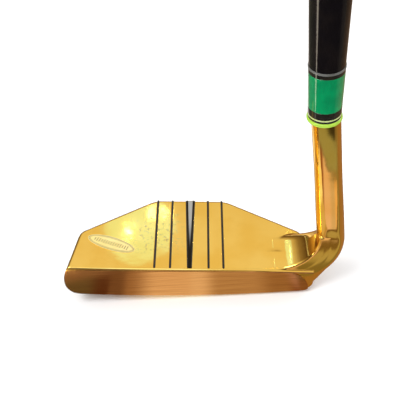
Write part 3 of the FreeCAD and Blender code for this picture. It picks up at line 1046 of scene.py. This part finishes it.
def gloss(name, colour, deep, roughness, level=0.5, coat=0.0):
    """Glossy lacquer or plastic with slight colour drift, dust and ripples."""
    paint = Paint(name)
    drift = paint.step(paint.noise(0.15, 3.0), 0.35, 0.7)
    specks = paint.step(paint.noise(1.8, 4.0, shift=(5, 2, 9)), 0.62, 0.8)
    tint = paint.blend(drift, colour, deep)
    rough = paint.line(specks, 0.15, roughness)
    ripple = paint.bump(paint.noise(0.35, 2.0), 0.00003)
    paint.set(Base_Color=tint, Roughness=rough, Normal=ripple)
    paint.shader.inputs["Specular IOR Level"].default_value = level
    paint.shader.inputs["Coat Weight"].default_value = coat
    return paint


def rubber(name, colour, worn):
    """Moulded rubber with a fine pebbled surface and paler wear."""
    paint = Paint(name)
    grain = paint.noise(2.6, 3.0)
    wear = paint.step(paint.noise(0.08, 4.0, shift=(2, 2, 2)), 0.45, 0.75)
    rough = paint.line(wear, 0.15, 0.6)
    paint.set(Base_Color=paint.blend(wear, colour, worn), Roughness=rough)
    paint.set(Normal=paint.bump(grain, 0.00012))
    return paint


def brushed_metal(name, colour, dark, roughness, stretch):
    paint = Paint(name)
    lines = paint.noise(1.6, 4.0, stretch=stretch)
    stain = paint.step(paint.noise(0.3, 4.0, shift=(9, 1, 4)), 0.5, 0.8)
    tint = paint.blend(stain, colour, dark)
    rough = paint.line(lines, 0.2, roughness)
    paint.set(Base_Color=tint, Metallic=1.0, Roughness=rough, Normal=paint.bump(lines, 0.00002))
    return paint


WEDGE_MIDDLE = to_row(0.0, 0.0)[0]


def wedge_metal():
    """Silver inlay, brushed along its length, black at the narrow front end and along its sides."""
    paint = Paint("inlay_silver")
    x, y, _ = paint.axes()
    lines = paint.noise(1.6, 4.0, stretch=(1.0, 0.05, 1.0))
    half = paint.line(y, 0.028, -0.15)
    aside = paint.math("ABSOLUTE", paint.math("SUBTRACT", x, WEDGE_MIDDLE))
    inside = paint.math("SUBTRACT", half, aside)
    bright = paint.math("MULTIPLY", paint.step(y, 12.0, 34.0), paint.step(inside, -0.15, 0.15))
    tint = paint.blend(bright, (0.02, 0.016, 0.01), (0.50, 0.47, 0.40))
    rough = paint.line(lines, 0.2, 0.24)
    paint.set(Base_Color=tint, Metallic=1.0, Roughness=rough, Normal=paint.bump(lines, 0.00002))
    return paint


def dress_all():
    gold_skin().dress(SKIN)
    black = gloss("gloss_black_lacquer", (0.004, 0.003, 0.004), (0.007, 0.005, 0.005), 0.08, 0.3)
    black.dress(SHAFT)
    ring_black = gloss("gloss_black_ring", (0.010, 0.009, 0.007), (0.02, 0.016, 0.01), 0.1)
    finishes = {
        "lime_end_ring": gloss("lime_ring", (0.36, 0.62, 0.05), (0.42, 0.66, 0.06), 0.15),
        "lower_spacer_ring": ring_black,
        "pale_pinstripe_ring": gloss("pale_ring", (0.66, 0.74, 0.32), (0.5, 0.6, 0.2), 0.2),
        "black_collar_ring": ring_black,
        "green_band_ring": gloss("green_ring", (0.0, 0.26, 0.085), (0.0, 0.20, 0.07), 0.08,
                                 coat=0.4),
        "upper_spacer_ring": ring_black,
        "grey_trim_ring": gloss("grey_ring", (0.14, 0.14, 0.13), (0.10, 0.10, 0.09), 0.2),
    }
    for name, paint in finishes.items():
        paint.dress(RINGS[name])
    rubber("grip_black_rubber", (0.018, 0.018, 0.020), (0.05, 0.05, 0.05)).dress(GRIP)
    rubber("cap_black_rubber", (0.022, 0.022, 0.022), (0.06, 0.06, 0.06)).dress(CAP)
    gloss("label_yellow", (0.78, 0.62, 0.22), (0.72, 0.55, 0.17), 0.25).dress(LABEL)
    gloss("label_line_olive", (0.14, 0.10, 0.01), (0.20, 0.15, 0.02), 0.3).dress(LABEL_LINES)
    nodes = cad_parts
    wedge_metal().dress(nodes["sight_wedge"])
    gloss("groove_black_paint", (0.012, 0.009, 0.005), (0.03, 0.02, 0.01), 0.35, 0.3).dress(
        nodes["sight_line_paint"])
    brushed_metal("sole_gold", (0.80, 0.48, 0.11), (0.45, 0.3, 0.1), 0.2,
                  (0.05, 1.0, 1.0)).dress(nodes["sole_plate"])
    brushed_metal("screw_steel", (0.55, 0.54, 0.52), (0.3, 0.28, 0.25), 0.22,
                  (1.0, 1.0, 1.0)).dress(nodes["sole_screws"])
    rubber("gasket_black", (0.02, 0.02, 0.02), (0.04, 0.04, 0.04)).dress(nodes["sole_gasket"])
    rubber("plug_grey", (0.05, 0.05, 0.05), (0.09, 0.09, 0.09)).dress(nodes["tip_plug"])
    rubber("tape_cream", (0.55, 0.5, 0.4), (0.6, 0.56, 0.46)).dress(nodes["grip_tape"])
    gloss("epoxy_amber", (0.5, 0.4, 0.2), (0.45, 0.34, 0.16), 0.3).dress(nodes["shaft_adhesive"])


dress_all()


# ---- floor, world and lights

CAMERA_PLACE = Vector((26.45, -212.94, 259.77)) * MM
CAMERA_PITCH = math.radians(43.78)
CAMERA_YAW = math.radians(-4.52)
CAMERA_ROLL = math.radians(-6.46)
CAMERA_LENS = 63.0
FLOOR_Z = CAD_BOX[0].z - 0.0002
CARD_LIFT = 0.00005
CARD_HALF = 0.6
FLOOR_HALF = 3.0
WORLD_PALE = (0.92, 0.93, 0.95, 1)
WORLD_STRENGTH = 0.85
# What glossy surfaces see of the world: height of the direction, and colour.
WORLD_GLOW = [
    (0.0, (0.10, 0.06, 0.03, 1)),
    (0.35, (0.35, 0.28, 0.20, 1)),
    (0.6, (0.95, 0.93, 0.9, 1)),
    (0.75, (1.05, 1.03, 1.0, 1)),
]
# Tones of the reflector card: in front of the face from toe to heel, round the neck by
# direction in radians from straight ahead with left negative, and further out the same way.
CARD_TOE = (0.19, 0.18, 0.12)
CARD_FRONT = [
    (-54.0, -46.0, (0.15, 0.07, 0.04)),
    (-42.5, -41.0, (0.26, 0.17, 0.12)),
    (-36.0, -31.0, (0.52, 0.38, 0.28)),
    (-31.0, -17.0, (1.15, 1.05, 1.0)),
    (-2.0, 1.0, (1.2, 1.15, 1.15)),
    (4.0, 14.0, (0.72, 0.60, 0.46)),
    (30.0, 42.0, (0.50, 0.36, 0.22)),
]
CARD_CREASE = (0.40, 0.30, 0.26)
CARD_CREASE_LINE = (-0.18, -27.5)
CARD_ELBOW = (0.20, 0.14, 0.07)
CARD_ELBOW_ROWS = [
    (-25.0, -23.5, (0.46, 0.42, 0.30)),
    (-19.0, -15.0, (0.24, 0.21, 0.12)),
    (-10.0, -7.0, (0.36, 0.22, 0.12)),
]
CARD_EDGE = (0.30, 0.25, 0.20)
CARD_ROUND = [
    (-2.66, -2.31, (1.0, 1.25, 2.6)),
    (-1.60, -1.35, (0.31, 0.13, 0.09)),
    (-0.90, -0.56, (0.86, 0.66, 0.9)),
    (-0.06, 0.45, (0.70, 0.58, 0.7)),
    (0.62, 0.89, (0.90, 0.62, 0.5)),
    (1.39, 1.57, (1.0, 1.0, 1.4)),
    (1.91, 2.28, (0.35, 0.28, 0.3)),
]
# Vee bands: a dark and an olive card tone that the neck shows as painted reflections.
CARD_VEE_SLOPE = 7.0
CARD_VEE_DARK_REFLECTION = (88.0, 90.0, (0.20, 0.17, 0.15))
CARD_VEE_OLIVE = (92.0, 94.0, (0.36, 0.40, 0.35))
CARD_OUTER = (126.0, 134.0)
CARD_FAR = [
    (-1.9, -1.7, (2.4, 2.2, 2.0)),
    (-1.46, -1.40, (7.5, 6.6, 5.2)),
    (-1.28, -1.22, (0.05, 0.045, 0.035)),
    (0.9, 1.2, (0.25, 0.21, 0.16)),
]


def flat_square(name, half, z):
    corners = [(-half, -half), (half, -half), (half, half), (-half, half)]
    return mesh_object(name, [(x, y, z) for x, y in corners], [(0, 1, 2, 3)])


def make_floor():
    floor = flat_square("floor", FLOOR_HALF, FLOOR_Z)
    paint = Paint("pale_floor")
    pale = paint.blend(paint.noise(0.02, 3.0), (0.93, 0.93, 0.93), (0.95, 0.95, 0.95))
    paint.set(Base_Color=pale, Roughness=0.9)
    paint.shader.inputs["Specular IOR Level"].default_value = 0.0
    paint.dress(floor)


def banded(paint, value, tone, bands):
    """Tone that changes to each band's colour in turn as value grows."""
    for start, end, colour in bands:
        tone = paint.blend(paint.step(value, start, end), tone, colour)
    return tone


def card_tones(paint):
    """Colour of the reflector card by its place on the floor, in millimetres."""
    x, y, _ = paint.axes()
    across = paint.math("SUBTRACT", x, SHAFT_X)
    along = paint.math("SUBTRACT", SHAFT_Y, y)
    turn = paint.math("ARCTAN2", across, along)
    reach = paint.math("SQRT", paint.math("ADD", paint.math("MULTIPLY", across, across),
                                          paint.math("MULTIPLY", along, along)))
    front = banded(paint, x, CARD_TOE, CARD_FRONT)
    crease = paint.line(x, *CARD_CREASE_LINE)
    past_crease = paint.math("MULTIPLY", paint.math("LESS_THAN", y, crease),
                             paint.step(x, -38.0, -45.0))
    front = paint.blend(past_crease, front, CARD_CREASE)
    vee = paint.line(paint.math("ABSOLUTE", turn), -CARD_VEE_SLOPE, reach)
    seen = banded(paint, turn, CARD_EDGE, CARD_ROUND)
    seen = banded(paint, vee, seen, [CARD_VEE_DARK_REFLECTION, CARD_VEE_OLIVE])
    far = banded(paint, turn, CARD_EDGE, CARD_FAR)
    seen = paint.blend(paint.step(reach, *CARD_OUTER), seen, far)
    before_face = paint.math("MULTIPLY", paint.step(x, 54.0, 46.0), paint.step(y, -36.0, -31.0))
    seen = paint.blend(before_face, seen, front)
    elbow = banded(paint, y, CARD_ELBOW, CARD_ELBOW_ROWS)
    before_elbow = paint.math("MULTIPLY", paint.step(x, 50.0, 54.0), paint.step(y, -33.0, -29.0))
    return paint.blend(before_elbow, seen, elbow)


def make_reflector_card():
    """Glowing card just above the floor that shows only as a reflection in glossy surfaces."""
    card = flat_square("reflector_card", CARD_HALF, FLOOR_Z + CARD_LIFT)
    paint = Paint("reflector_tones")
    glow = paint.node("Emission")
    paint.feed(glow.inputs[0], card_tones(paint))
    paint.feed(paint.tree.nodes["Material Output"].inputs[0], glow.outputs[0])
    paint.dress(card)
    card.visible_camera = False
    card.visible_diffuse = False
    card.visible_transmission = False
    card.visible_shadow = False


def make_world():
    """Even pale light; mirror-like surfaces see it fall to brown at the horizon."""
    world = bpy.data.worlds.new("studio")
    bpy.context.scene.world = world
    world.use_nodes = True
    tree = world.node_tree
    back = tree.nodes["Background"]
    coords = tree.nodes.new("ShaderNodeTexCoord")
    split = tree.nodes.new("ShaderNodeSeparateXYZ")
    ramp = tree.nodes.new("ShaderNodeValToRGB")
    path = tree.nodes.new("ShaderNodeLightPath")
    mix = tree.nodes.new("ShaderNodeMix")
    mix.data_type = "RGBA"
    tree.links.new(coords.outputs["Generated"], split.inputs[0])
    tree.links.new(split.outputs[2], ramp.inputs[0])
    stops = ramp.color_ramp.elements
    stops[0].position = WORLD_GLOW[0][0]
    stops[1].position = WORLD_GLOW[-1][0]
    for position, _ in WORLD_GLOW[1:-1]:
        stops.new(position)
    for stop, (_, colour) in zip(stops, WORLD_GLOW):
        stop.color = colour
    tree.links.new(path.outputs["Is Glossy Ray"], mix.inputs[0])
    mix.inputs[6].default_value = WORLD_PALE
    tree.links.new(ramp.outputs[0], mix.inputs[7])
    tree.links.new(mix.outputs[2], back.inputs[0])
    back.inputs[1].default_value = WORLD_STRENGTH


# Lamps that the camera sees mirrored in the top surface: place on it in the head frame, size
# in metres, radiance.
LAMPS = [
    (-30.0, 24.5, 0.0035, 26.0),
    (-19.5, 36.5, 0.0035, 22.0),
    (-13.5, 37.0, 0.0025, 22.0),
    (48.0, 18.5, 0.0025, 14.0),
    (48.3, 14.5, 0.0020, 14.0),
]
LAMP_DISTANCE = 0.16
LAMP_COLOUR = (1.0, 0.97, 0.86)
# Cool panel whose reflection lies over the toe half of the top, and one that lights the lip.
PANEL_SEEN_AT = (-25.0, 27.0)
PANEL_SIZE = 0.05
PANEL_RADIANCE = 1.3
PANEL_COLOUR = (0.06, 0.40, 1.0)
LIP_PANEL_PLACE = (-0.05, -0.38, 0.32)
LIP_PANEL_SIZE = 0.22
LIP_PANEL_RADIANCE = 2.0
LIP_PANEL_COLOUR = (0.2, 0.4, 1.0)


def area_light(name, place, target, size, power, colour=(1, 1, 1)):
    data = bpy.data.lights.new(name, "AREA")
    data.shape = "DISK"
    data.size = size
    data.energy = power
    data.color = colour
    light = link(bpy.data.objects.new(name, data))
    aim = Vector(target) - Vector(place)
    light.location = place
    light.rotation_euler = aim.to_track_quat("-Z", "Y").to_euler()
    return light


def seen_in_top(head_x, head_y, distance):
    """Place of a lamp that the camera sees mirrored at a point of the top, and that point."""
    row_x, row_z = to_row(head_x, 0.0)
    spot = Vector((row_x, head_y, row_z)) * MM
    up = Vector((math.sin(TOE_UP), 0, math.cos(TOE_UP)))
    look = (spot - CAMERA_PLACE).normalized()
    return spot + (look - 2 * look.dot(up) * up) * distance, spot


def highlight(name, place, target, size, radiance, colour):
    """Round lamp, hidden from the camera and from diffuse surfaces, that shows as a highlight."""
    power = radiance * math.pi * math.pi * (size / 2) ** 2
    light = area_light(name, place, target, size, power, colour)
    light.visible_camera = False
    light.visible_diffuse = False


def make_highlights():
    for index, (head_x, head_y, size, radiance) in enumerate(LAMPS):
        place, spot = seen_in_top(head_x, head_y, LAMP_DISTANCE)
        highlight("lamp_%d" % index, place, spot, size, radiance, LAMP_COLOUR)
    place, spot = seen_in_top(*PANEL_SEEN_AT, LAMP_DISTANCE)
    highlight("cool_panel", place, spot, PANEL_SIZE, PANEL_RADIANCE, PANEL_COLOUR)
    highlight("lip_panel", LIP_PANEL_PLACE, (0, 0, 0), LIP_PANEL_SIZE, LIP_PANEL_RADIANCE,
              LIP_PANEL_COLOUR)


def make_lights():
    area_light("soft_key", (-0.5, -0.3, 1.1), (0, 0.02, 0.0), 0.7, 9.0)
    area_light("soft_fill", (0.7, 0.4, 0.9), (0, 0.02, 0.0), 0.6, 4.0)


make_floor()
make_reflector_card()
make_world()
make_lights()
make_highlights()
bpy.context.scene.view_settings.view_transform = "Standard"


# ---- camera

def make_camera():
    ahead = Vector((
        math.sin(CAMERA_YAW) * math.cos(CAMERA_PITCH),
        math.cos(CAMERA_YAW) * math.cos(CAMERA_PITCH),
        -math.sin(CAMERA_PITCH),
    ))
    level = Vector((math.cos(CAMERA_YAW), -math.sin(CAMERA_YAW), 0))
    above = level.cross(ahead)
    right = level * math.cos(CAMERA_ROLL) + above * math.sin(CAMERA_ROLL)
    up = above * math.cos(CAMERA_ROLL) - level * math.sin(CAMERA_ROLL)
    data = bpy.data.cameras.new("camera")
    data.lens = CAMERA_LENS
    data.sensor_width = 36.0
    data.clip_start = 0.01
    camera = link(bpy.data.objects.new("camera", data))
    turn = Matrix((right, up, -ahead)).transposed()
    camera.matrix_world = Matrix.Translation(CAMERA_PLACE) @ turn.to_4x4()
    bpy.context.scene.camera = camera


make_camera()
